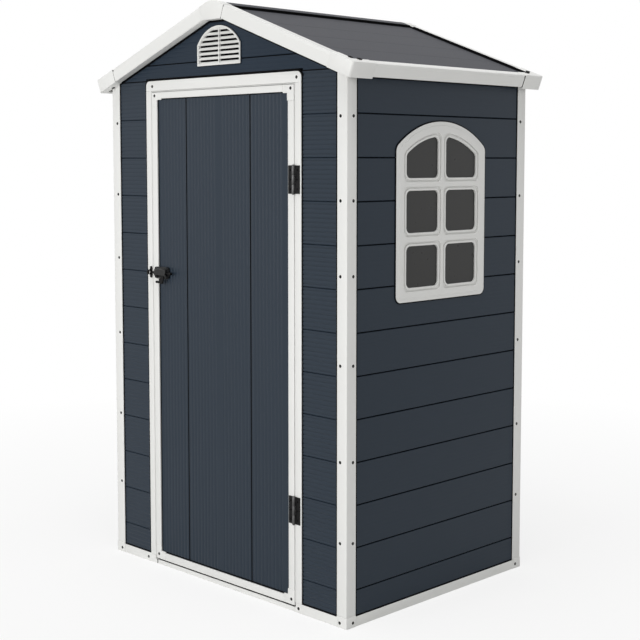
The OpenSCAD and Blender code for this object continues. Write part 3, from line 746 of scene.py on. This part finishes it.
plate_low, plate_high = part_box("latch_case")
bolt_low, bolt_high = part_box("latch_bolt")
keeper_low, keeper_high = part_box("latch_keeper")
leaf_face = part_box("door_stile_left")[0][1]
bolt_z = (plate_low[2] + plate_high[2]) / 2
plate_x0 = bolt_low[0]
plate_half = (plate_high[2] - plate_low[2]) / 2
facing_out = set_at((0, leaf_face, bolt_z), 90, "X")
along_bolt = Matrix.Translation((0, leaf_face, bolt_z)) @ Matrix(
    ((0, 0, 1, 0), (0, -1, 0, 0), (1, 0, 0, 0), (0, 0, 0, 1)))

strap = hood_arc(0, pi) + [(-HOOD_HALF, HOOD_FOOT), (HOOD_HALF, HOOD_FOOT)]
hood = hood_arc(0, radians(118)) + [(x * MM, out * MM) for x, out in (
    (-6, 14.6), (2, 14.8), (9, 12.5), (12.5, 7), (13, 2))] + [(HOOD_HALF, HOOD_FOOT)]
strap_starts = (HOOD_START, PLATE_END - STRAP_WIDTH - 3 * MM)
plate = rounded_opening(plate_x0, PLATE_END, -plate_half, plate_half, PLATE_CORNER, PLATE_CORNER)
spacer = rounded_opening(SPACER_START, PLATE_END - 1 * MM, -plate_half, plate_half,
                         PLATE_CORNER, PLATE_CORNER)
case = joined([
    *(pressed([strap, ring_of(BOLT_RADIUS + BOLT_PLAY)], x, x + STRAP_WIDTH, 0.4 * MM, along_bolt)
      for x in strap_starts),
    pressed([hood], HOOD_START + STRAP_WIDTH - 1 * MM, strap_starts[1] + 1 * MM, place=along_bolt),
    pressed([plate], 0, 3 * MM, 1 * MM, facing_out),
    pressed([spacer], -5.9 * MM, 0.5 * MM, place=facing_out)])
case.shade_smooth()
case.set_sharp_from_angle(angle=radians(35))
# Hood powder coat: the same film with more gloss, and a lighter grey as a painted sheen on its ribs
hood_sheen_steel = moulded_plastic("powder_coat_painted_sheen", "#0E0F10", "#141516", ior=1.5,
                                roughness=0.42, specular=0.3, grain=1.5 * MM, relief=0.02 * MM)
finish_piece("latch_hood", case, "latch_case", hood_sheen_steel)

# The tab's neck is narrow enough to stay between the straps while it slides
tab_x0 = plate_high[0] - TAB_START
tab = [(tab_x0 + x * MM, z * MM) for x, z in (
    (6, 3), (6, -20), (0, -22), (0, -26), (-1.5, -28), (-19, -28), (-21, -30), (-21, -34),
    (-19, -36), (1, -36), (6, -38), (14, -38), (18, -35), (21, -26), (24, -16), (24, 3))]
rod = [pressed([ring_of(radius)], x0, x1, 1 * MM, along_bolt) for radius, x0, x1 in (
    (BOLT_RADIUS, bolt_low[0], PLATE_END), (3 * MM, PLATE_END - 2 * MM, bolt_high[0] - 8 * MM),
    (BOLT_RADIUS, bolt_high[0] - 10 * MM, bolt_high[0]))]
tab = pressed([tab], TAB_BACK, TAB_FRONT, 1.2 * MM, facing_out)
finish_piece("latch_rod", joined([*rod, tab]), "latch_bolt", black_steel)

keeper_x0, keeper_x1 = keeper_low[0], keeper_high[0]
over_bolt = arc_points(0, BOLT_OUT, LOOP_RADIUS, [pi * i / 16 for i in range(17)])
loop = [(LOOP_RADIUS, 1 * MM), *over_bolt, (-LOOP_RADIUS, 1 * MM)]
plate = rounded_opening(keeper_x0, keeper_x1, -plate_half, plate_half, 5.5 * MM, 5.5 * MM)
finish_piece("latch_loop", joined([
    pressed([plate], 0, 3.5 * MM, 1 * MM, facing_out),
    pressed([loop, ring_of(BOLT_RADIUS + 1 * MM)], keeper_x0 + 1 * MM, keeper_x1 - 1 * MM,
            0.6 * MM, along_bolt),
    pressed([ring_of(4.5 * MM)], keeper_x0 - 4 * MM, keeper_x0 + 1 * MM, 1 * MM, along_bolt)]),
    "latch_keeper", black_steel)


# ---------------------------------------------------------------------------
# Window: a white moulding with a bead round each of its six lights, over one sheet of
# smoked acrylic. A black gasket seals it on the wall, and reaches out round the frame as its
# painted shadow.

WINDOW_SHOULDER = 30 * MM
WINDOW_FOOT = 22 * MM
WINDOW_MEMBER = 48 * MM
WINDOW_BAR = 37 * MM
WINDOW_RISE = 84 * MM
WINDOW_BACK = -2 * MM
WINDOW_PROUD = 5 * MM
WINDOW_RIM = 30 * MM
WINDOW_BORDER = 13 * MM
PANE_CORNER = 18 * MM
PANE_BEAD = 7 * MM
BEAD_ARRIS = 1.5 * MM
RECESS = 12 * MM
RECESS_CORNER = 15 * MM
GASKET_OUT = 3.5 * MM
PANE_ROWS = ((1041 * MM, 1174 * MM), (1216 * MM, 1350 * MM), (1390 * MM, None))

window_low, window_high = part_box("window_frame")
half = window_high[1]
arch_r = (half ** 2 + WINDOW_RISE ** 2) / (2 * WINDOW_RISE)
frame_edge = (-half, half, window_low[2], window_high[2], WINDOW_FOOT, WINDOW_SHOULDER, arch_r)
pane_arch = (arch_r - WINDOW_MEMBER,)
panes = [(left, right, foot, head or window_high[2] - WINDOW_MEMBER, () if head else pane_arch)
         for foot, head in PANE_ROWS
         for left, right in ((-half + WINDOW_MEMBER, -WINDOW_BAR / 2),
                             (WINDOW_BAR / 2, half - WINDOW_MEMBER))]
lights = [(*spans, PANE_CORNER, PANE_CORNER, *arch) for *spans, arch in panes]
inner = RECESS_CORNER - RECESS
recesses = [(*spans, inner, inner, *arch) for *spans, arch in panes]


def outlines(openings, *grows):
    """The outlines of these openings, grown by each of these."""
    return [rounded_opening(*opening, grow=grow) for opening in openings for grow in grows]


body = outlines([frame_edge], -WINDOW_BORDER) + outlines(recesses, RECESS)
plates = [
    pressed(outlines([frame_edge], -3 * MM) + outlines(lights, 0), WINDOW_BACK, -1 * MM),
    pressed(outlines([frame_edge], 0, -WINDOW_RIM), 0, WINDOW_PROUD - 1.5 * MM, BEAD_ARRIS),
    pressed(body, WINDOW_BACK, WINDOW_PROUD, 1 * MM),
    *(pressed(outlines([light], PANE_BEAD, 0), WINDOW_BACK, WINDOW_PROUD - 1 * MM, BEAD_ARRIS)
      for light in lights)]
on_wall = Matrix.Translation((face_x, 0, 0)) @ Matrix(
    ((0, 0, 1, 0), (1, 0, 0, 0), (0, 1, 0, 0), (0, 0, 0, 1)))
moulding = joined(plates)
moulding.transform(on_wall)
finish_piece("window_moulding", moulding, "window_frame", white_pvc)
# The gasket reaches 3.5 mm out round the frame: partly seal, partly painted shadow on the wall
gasket = pressed(outlines([frame_edge], GASKET_OUT, -4 * MM), -1 * MM, 2.5 * MM, 1 * MM, on_wall)
finish_piece("window_gasket_and_shadow", gasket, "window_frame", rubber_and_painted_shade, replaced=False)


def coat_node(node, material):
    """Gives a CAD node that stays its material."""
    mesh = frame["nodes"][node].data
    mesh.materials.clear()
    mesh.materials.append(material)


# Smoked acrylic: nearly opaque grey under a clear gloss
smoked_acrylic = moulded_plastic("smoked_acrylic", "#252524", "#272726", ior=1.49, roughness=0.3,
                                 specular=0.36, grain=20 * MM, relief=0.0 * MM)
coat_node("window_glass", smoked_acrylic)


# ---------------------------------------------------------------------------
# Gable vent: a white moulding with an arched rim, a middle bar and nine sloping louvre
# blades, snapped into the gable on a black gasket that shows round the rim as its painted shadow,
# with black gauze behind the blades.

VENT_RIM = 5 * MM
VENT_RISE = 61 * MM
VENT_BAR_HALF = 2.2 * MM
BLADE_COUNT = 9
BLADE_PITCH = 15.9 * MM
BLADE_SLOPE = radians(-28)
BLADE_THICKNESS = 1.2 * MM
BLADE_DEPTH = 10 * MM

louvre_tree, given = new_tree("louvre_blades", Int=("Count",), Float=("Pitch",), Vector=("Blade",),
                              Rotation=("Slope",), Material=("Material",))
step = add_node(louvre_tree, "ShaderNodeCombineXYZ", {"Z": given["Pitch"]})
rungs = add_node(louvre_tree, "GeometryNodeMeshLine", {"Count": given["Count"], "Offset": step})
blade = add_node(louvre_tree, "GeometryNodeMeshCube", {"Size": given["Blade"]})
stack = add_node(louvre_tree, "GeometryNodeInstanceOnPoints",
                 {"Points": rungs, "Instance": blade, "Rotation": given["Slope"]})
end_tree(louvre_tree, stack, given["Material"])

vent_low, vent_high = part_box("gable_vent")
half = vent_high[0]
arch_r = (half ** 2 + VENT_RISE ** 2) / (2 * VENT_RISE)
vent_edge = (-half, half, vent_low[2], vent_high[2], 2 * MM, 2 * MM, arch_r)
proud = -face_y - vent_low[1]
bar_foot, bar_head = vent_low[2] + 4 * MM, vent_high[2] - 4 * MM
bar = [(-VENT_BAR_HALF, bar_foot), (VENT_BAR_HALF, bar_foot),
       (VENT_BAR_HALF, bar_head), (-VENT_BAR_HALF, bar_head)]
upright = set_at((0, -face_y, 0), 90, "X")


def vent_plate(grows, low, high, arris=0):
    """A plate in the vent, its edge and its hole the vent's own outline, grown by these."""
    return pressed(outlines([vent_edge], *grows), low, high, arris, upright)


blades = grown(louvre_tree, {
    "Count": BLADE_COUNT, "Pitch": BLADE_PITCH, "Slope": (BLADE_SLOPE, 0, 0),
    "Blade": (2 * half, BLADE_THICKNESS, BLADE_DEPTH), "Material": white_pvc})
blades.transform(Matrix.Translation((0, -face_y + 1 * MM, vent_low[2] + 8 * MM)))
blades = cut_from(blades, vent_plate((-VENT_RIM - 1 * MM,), -20 * MM, 20 * MM))
finish_piece("vent_moulding", joined([
    vent_plate((0, -VENT_RIM), 0, proud, 1 * MM),
    vent_plate((-2 * MM, -VENT_RIM - 2 * MM), -10 * MM, proud - 2.5 * MM),
    pressed([bar], -6 * MM, proud - 2 * MM, 0.6 * MM, upright), blades]), "gable_vent", white_pvc)
# The gauze lies behind the blades; the gasket's ring shows 1.8 mm out round the rim as painted
# shadow
finish_piece("vent_gauze_and_shadow_ring", joined([
    vent_plate((-VENT_RIM,), -7 * MM, -6 * MM),
    vent_plate((1.8 * MM, -3 * MM), -1 * MM, 1 * MM)]), "gable_vent", rubber_and_painted_shade, replaced=False)


# ---------------------------------------------------------------------------
# Roof panels: smooth twin-wall polypropylene, lighter than the walls, with a fine
# joint every 131 mm down the slope. Rubber seals close them under the trims.

ROOF_BOARD = 131 * MM
ROOF_THICKNESS = 16 * MM
ROOF_FIRST = 100 * MM


def slope_place(side):
    """Where the right (1) or left (-1) slope lies: its x runs down it and its z stands on it."""
    return (Matrix.Rotation(0 if side > 0 else pi, 4, "Z") @ Matrix.Translation((0, 0, ridge_z))
            @ Matrix.Rotation(ROOF_ANGLE, 4, "Y"))


roof_plastic = moulded_plastic("grey_polypropylene", "#48494E", "#4B4C51", ior=1.49,
                               roughness=0.66, specular=0.15, grain=4 * MM, relief=0.03 * MM)
panel_middle = ROOF_THICKNESS / 2 - ROOF_DEPTH
lying = Matrix(((0, 0, -1, ROOF_FIRST + 2 * ROOF_BOARD), (1, 0, 0, 0), (0, -1, 0, panel_middle),
                (0, 0, 0, 1)))
for node, side in (("roof_panel_right", 1), ("roof_panel_left", -1)):
    slab = board_slab(ROOF_THICKNESS, ROOF_BOARD, 100, 8, {
        "Joint Half Rows": 1.0, "Joint Depth": 1 * MM, "Reed Rows": 1.0, "Reed Depth": 0.0,
        "Material": roof_plastic, "Joint Material": roof_plastic})
    lay_boards(node + "_boards", slab, slope_place(side) @ lying, node)
finish_mouldings(("ridge_cap", "eaves_rails"), roof_plastic, 1 * MM)
coat_node("roof_seals", rubber_and_painted_shade)


# ---------------------------------------------------------------------------
# Roof trims: white PVC bargeboards and fascias, folded over the panels' edges, with
# moulded caps over the joints at the eaves corners and at both ends of the ridge.

RIDGE_HALF = 66 * MM
TRIM_END = 582.9 * MM
EAVE_EDGE = 682.9 * MM
VERGE_EDGE = 476.2 * MM
OPEN_EDGE = 441.2 * MM
CAP_LENGTH = 100 * MM
CAP_PROUD = 1.5 * MM
CAP_ROUNDING = 9 * MM
NEAR = 0.1 * MM
STEP_DOWN = 8 * MM
STEP_PROUD = 0.8 * MM


def slope_block(side, down, along, high):
    """A block on a slope, from its spans down the slope, along the ridge and over the panels."""
    y0, y1 = sorted(along)
    outline = [(down[0], y0), (down[1], y0), (down[1], y1), (down[0], y1)]
    return pressed([outline], *high, 0.4 * MM, slope_place(side))


finish_mouldings(("bargeboards_front", "bargeboards_rear", "fascias"), white_pvc, 1 * MM)
finish_mouldings(("apex_caps",), white_pvc, 1.4 * MM)

# The caps' upright corners are rounded before their arrises are
caps = bmesh.new()
caps.from_mesh(merged_copy("eave_caps"))
corners = []
for side in (1, -1):
    to_slope = slope_place(side).inverted()
    for edge in caps.edges:
        ends = [to_slope @ v.co for v in edge.verts]
        if all(abs(abs(e.y) - VERGE_EDGE - CAP_PROUD) < NEAR
               and abs(e.x - EAVE_EDGE - CAP_PROUD) < NEAR for e in ends):
            corners.append(edge)
bmesh.ops.bevel(caps, geom=corners, offset=CAP_ROUNDING, offset_type="OFFSET", segments=4,
                profile=0.5, affect="EDGES")
finish_piece("eave_caps_moulding", soften(finished_mesh(caps, "eave_caps"), 1.2 * MM), "eave_caps",
             white_pvc)

# A raised strip runs along each board under its top edge
for end, node in ((-1, "bargeboards_front"), (1, "bargeboards_rear")):
    strips = [slope_block(side, (RIDGE_HALF, TRIM_END), (side * end * (VERGE_EDGE - 1 * MM),
                                                         side * end * (VERGE_EDGE + STEP_PROUD)),
                          (-43 * MM, -STEP_DOWN)) for side in (1, -1)]
    finish_piece(node + "_strips", joined(strips), node, white_pvc, replaced=False)
reach = VERGE_EDGE - CAP_LENGTH
strips = [slope_block(side, (EAVE_EDGE - 1 * MM, EAVE_EDGE + STEP_PROUD), (-reach, reach),
                      (-39 * MM, -STEP_DOWN)) for side in (1, -1)]
finish_piece("fascias_strips", joined(strips), "fascias", white_pvc, replaced=False)

# Black beads under the ridge cap and the rear verges and in the caps' joints, black plugs in the
# eave caps' inner corners, and a black disc for the mouth of a drain under each cap: painted shade
# in these gaps, corners and holes
BEAD_HIGH = (-9 * MM, 0.5 * MM)
PLUG_HIGH = (-5 * MM, 4.5 * MM)
EAVE_JOINT_HIGH = (-42 * MM, -1 * MM)
VERGE_JOINT_HIGH = (-45 * MM, -1 * MM)
JOINT_LIP = 0.2 * MM
JOINT_SUNK = 2 * MM
JOINT_PROUD = 1.1 * MM
DRAIN_PLACE = Vector((632, 451, -47.6)) * MM
drain = arc_points(0, 0, 7 * MM, [pi * i / 8 for i in range(16)])
beads = []
for side in (1, -1):
    rows = [((62 * MM, 69 * MM), (-OPEN_EDGE, OPEN_EDGE - 4 * MM), BEAD_HIGH),
            ((RIDGE_HALF + 18 * MM, 640 * MM),
             (side * (OPEN_EDGE - 2 * MM), side * (OPEN_EDGE + 7 * MM)), BEAD_HIGH)]
    for end in (1, -1):
        rows += [((632 * MM, 644 * MM), (end * 440 * MM, end * 450 * MM), PLUG_HIGH),
                 ((647 * MM, 659 * MM), (end * 414 * MM, end * 427 * MM), PLUG_HIGH)]
        if end * side > 0:
            rows.append(((EAVE_EDGE - JOINT_SUNK, EAVE_EDGE + JOINT_PROUD),
                         (end * (reach + JOINT_LIP), end * (reach - 4 * MM)), EAVE_JOINT_HIGH))
        cap_joint = ((TRIM_END - 1.2 * MM, TRIM_END + JOINT_LIP) if end > 0
                     else (RIDGE_HALF - JOINT_LIP, RIDGE_HALF + 1 * MM))
        rows.append((cap_joint, (end * (VERGE_EDGE - JOINT_SUNK), end * (VERGE_EDGE + JOINT_PROUD)),
                     VERGE_JOINT_HIGH))
        at_drain = Matrix.Translation(DRAIN_PLACE * Vector((1, end, 1)))
        beads.append(pressed([drain], -0.5 * MM, 0.5 * MM, place=slope_place(side) @ at_drain))
    beads += [slope_block(side, *row) for row in rows]
finish_piece("trim_shade_beads", joined(beads), "roof_seals", rubber_and_painted_shade, replaced=False)


# ---------------------------------------------------------------------------
# Screws: black pan heads with a cross recess, through the trims into the panels, and
# smaller ones in the hinges and the latch.

HEAD_HEIGHT = 1.6 * MM
HEAD_DOME = 0.7
CROSS_WIDTH = 0.28
TRIM_HEAD = 5.9 * MM
CAP_HEAD = 2.8 * MM
LATCH_HEAD = 2.3 * MM
HINGE_HEAD = 3.2 * MM

screw_tree, given = new_tree("pan_head_screws", Geometry=("Places",),
                             Float=("Head Radius", "Head Height"), Material=("Material",))
radius, height = given["Head Radius"], given["Head Height"]
head = add_node(screw_tree, "GeometryNodeMeshCylinder",
                {"Vertices": 16, "Radius": radius, "Depth": height}).outputs
domed = add_node(screw_tree, "GeometryNodeScaleElements",
                 {"Geometry": head["Mesh"], "Selection": head["Top"], "Scale": HEAD_DOME})
narrow = add_node(screw_tree, "ShaderNodeMath", {0: radius, 1: CROSS_WIDTH}, operation="MULTIPLY")
raised = add_node(screw_tree, "ShaderNodeMath", {0: height, 1: 0.5}, operation="MULTIPLY")
raised = add_node(screw_tree, "ShaderNodeCombineXYZ", {"Z": raised})
recessed = add_node(screw_tree, "GeometryNodeMeshBoolean", {"Mesh 1": domed},
                    operation="DIFFERENCE")
for x, y in ((radius, narrow), (narrow, radius)):
    arm = add_node(screw_tree, "ShaderNodeCombineXYZ", {"X": x, "Y": y, "Z": height})
    arm = add_node(screw_tree, "GeometryNodeMeshCube", {"Size": arm})
    arm = add_node(screw_tree, "GeometryNodeTransform", {"Geometry": arm, "Translation": raised})
    screw_tree.links.new(arm.outputs[0], recessed.inputs["Mesh 2"])
facing = add_node(screw_tree, "GeometryNodeInputNamedAttribute", {"Name": "facing"},
                  data_type="FLOAT_VECTOR")
aimed = add_node(screw_tree, "FunctionNodeAlignRotationToVector", {"Vector": facing}, axis="Z")
screws = add_node(screw_tree, "GeometryNodeInstanceOnPoints",
                  {"Points": given["Places"], "Instance": recessed, "Rotation": aimed})
end_tree(screw_tree, screws, given["Material"])

# Blackened steel: a matt oxide that swallows nearly all light
blackened_steel = moulded_plastic("blackened_steel", "#030303", "#050505", ior=1.5, roughness=0.85,
                                  specular=0.03, grain=1.5 * MM, relief=0.01 * MM)


def screw_heads(name, places, radius, node):
    """Screw heads at (point, outward direction) places, on the body of a CAD node."""
    points = bpy.data.meshes.new("places")
    points.from_pydata([point for point, way in places], [], [])
    aim = points.attributes.new("facing", "FLOAT_VECTOR", "POINT")
    aim.data.foreach_set("vector", [c for point, way in places for c in way])
    heads = grown(screw_tree, {"Head Radius": radius, "Head Height": HEAD_HEIGHT,
                               "Material": blackened_steel}, points)
    heads.shade_smooth()
    heads.set_sharp_from_angle(angle=radians(30))
    finish_piece(name, heads, node, replaced=False)


# On both faces of each corner post and foot, and singly in the front's trims
FRONT, REAR, LEFT, RIGHT = (0, -1, 0), (0, 1, 0), (-1, 0, 0), (1, 0, 0)
POST_SCREW_HEIGHTS = [z * MM for z in (267, 521, 820, 1094, 1324, 1579)]
FOOT_SCREW_HEIGHT = 15.6 * MM
SCREW_IN = 28 * MM
post_face_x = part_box("post_front_right")[1][0]
post_face_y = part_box("post_rear_right")[1][1]
foot_x, foot_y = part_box("corner_feet")[1][:2]
places = []
for x_side, x_way in ((-1, LEFT), (1, RIGHT)):
    for y_side, y_way in ((-1, FRONT), (1, REAR)):
        x_in, y_in = x_side * (post_face_x - SCREW_IN), y_side * (post_face_y - SCREW_IN)
        for x, y, z in (*((post_face_x, post_face_y, z) for z in POST_SCREW_HEIGHTS),
                        (foot_x, foot_y, FOOT_SCREW_HEIGHT)):
            places += [((x_side * x, y_in, z), x_way), ((x_in, y_side * y, z), y_way)]
for x, z in ((-355, 1703.5), (370, 1703.5), (-404, 15), (376, 15)):
    places.append(((x * MM, -post_face_y, z * MM), FRONT))
screw_heads("frame_screws", places, TRIM_HEAD, "latch_keeper")

cap_screw = Vector((581 * MM, VERGE_EDGE + CAP_PROUD - HEAD_HEIGHT / 2, -4 * MM))
screw_heads("cap_screws", [(slope_place(side) @ cap_screw, way)
                           for side, way in ((-1, FRONT), (1, REAR))], CAP_HEAD, "latch_keeper")

LEAF_SCREW_X = 343 * MM
places = [((side * LEAF_SCREW_X, leaf_face, z * MM), FRONT)
          for side in (-1, 1) for z in (38.5, 1670.4)]
screw_heads("leaf_screws", places, TRIM_HEAD, "latch_case")

PLATE_SCREW_IN = 7 * MM
PLATE_SCREW_HALF = 17.6 * MM
places = [((x, leaf_face - 3 * MM, bolt_z + side * PLATE_SCREW_HALF), FRONT)
          for x in (plate_x0 + PLATE_SCREW_IN, PLATE_END - PLATE_SCREW_IN) for side in (-1, 1)]
screw_heads("latch_screws", places, LATCH_HEAD, "latch_case")

HINGE_LEAF = 2.5 * MM
HINGE_SCREW_OUT = 15.5 * MM
for name, side, node in (("jamb_hinge_screws", 1, "hinge_jamb_leaves"),
                         ("door_hinge_screws", -1, "hinge_door_leaves")):
    places = [((PIN_X + side * HINGE_SCREW_OUT, leaf_face - HINGE_LEAF, (z + up) * MM), FRONT)
              for z in (333, 1386) for up in (-30, 0, 30)]
    screw_heads(name, places, HINGE_HEAD, node)
